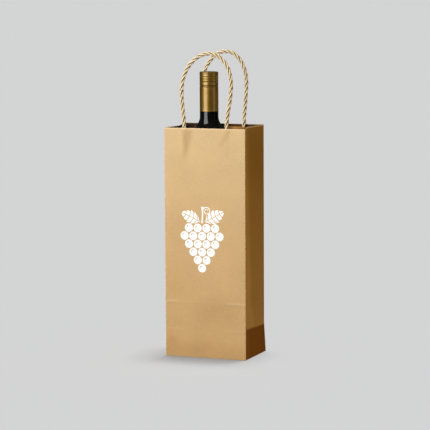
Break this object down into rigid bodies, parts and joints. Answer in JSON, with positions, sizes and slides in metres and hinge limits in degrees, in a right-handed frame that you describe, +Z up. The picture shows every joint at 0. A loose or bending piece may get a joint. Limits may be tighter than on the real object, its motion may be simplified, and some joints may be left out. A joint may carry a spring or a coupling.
{
  "type": "wine gift bag",
  "caption": "Tall gusseted kraft paper gift bag with two twisted paper handles, holding a screw-capped wine bottle on a folded card riser.",
  "frame": {"origin": "centre of the base face, on the surface the bag stands on", "axes": "+Z up the height of the bag, -Y out of the printed front panel, +X towards the bag's right side as seen from the front"},
  "size_m": [0.13, 0.0903, 0.4649],
  "materials": {
    "kraft_paper": "matt, uncoated",
    "patch_paper": "matt, uncoated",
    "paper_cord": "twisted, matt",
    "white_ink": "matt screen print",
    "grey_card": "matt board",
    "riser_card": "matt board",
    "dark_glass": "gloss, nearly black",
    "wine": "dark liquid",
    "gold_cap": "satin lacquer",
    "label_paper": "matt",
    "liner_plastic": "matt foam"
  },
  "bodies": {
    "bag": {"front_panel": "kraft_paper", "back_panel": "kraft_paper", "left_gusset": "kraft_paper", "right_gusset": "kraft_paper", "side_seam_lap": "kraft_paper", "bottom_side_flaps": "kraft_paper", "bottom_rear_flap": "kraft_paper", "bottom_front_flap": "kraft_paper", "base_board": "grey_card", "front_handle_backing": "patch_paper", "back_handle_backing": "patch_paper", "front_handle_patch": "patch_paper", "back_handle_patch": "patch_paper", "front_handle_ends": "paper_cord", "back_handle_ends": "paper_cord", "print_motif": "white_ink"},
    "front_handle": {"front_handle_loop": "paper_cord"},
    "back_handle": {"back_handle_loop": "paper_cord"},
    "riser": {"riser_cross_long": "riser_card", "riser_cross_short": "riser_card", "riser_deck": "riser_card"},
    "bottle": {"bottle_glass": "dark_glass", "wine_fill": "wine", "cap_skirt": "gold_cap", "bottle_front_label": "label_paper", "bottle_back_label": "label_paper"},
    "liner": {"cap_liner": "liner_plastic"},
    "cap": {"cap_shell": "gold_cap"}
  },
  "joints": [
    {"name": "front_handle_fold", "type": "hinge", "parent": "bag", "child": "front_handle", "pos_m": [0, -0.03864, 0.353], "axis": [1, 0, 0], "range_deg": [0, 80]},
    {"name": "back_handle_fold", "type": "hinge", "parent": "bag", "child": "back_handle", "pos_m": [0, 0.03864, 0.353], "axis": [-1, 0, 0], "range_deg": [0, 80]},
    {"name": "riser_lift", "type": "slide", "parent": "bag", "child": "riser", "axis": [0, 0, 1], "range_m": [0, 0.465]},
    {"name": "bottle_lift", "type": "slide", "parent": "riser", "child": "bottle", "axis": [0, 0, 1], "range_m": [0, 0.335]},
    {"name": "cap_lift", "type": "slide", "parent": "bottle", "child": "liner", "axis": [0, 0, 1], "range_m": [0, 0.0038]},
    {"name": "cap_turn", "type": "hinge", "parent": "liner", "child": "cap", "pos_m": [-0.0097, 0.004, 0.42], "axis": [0, 0, 1], "range_deg": [0, 450]}
  ],
  "couplings": [
    {"joint": "cap_lift", "follows": "cap_turn", "m_per_rad": 0.00047746}
  ]
}
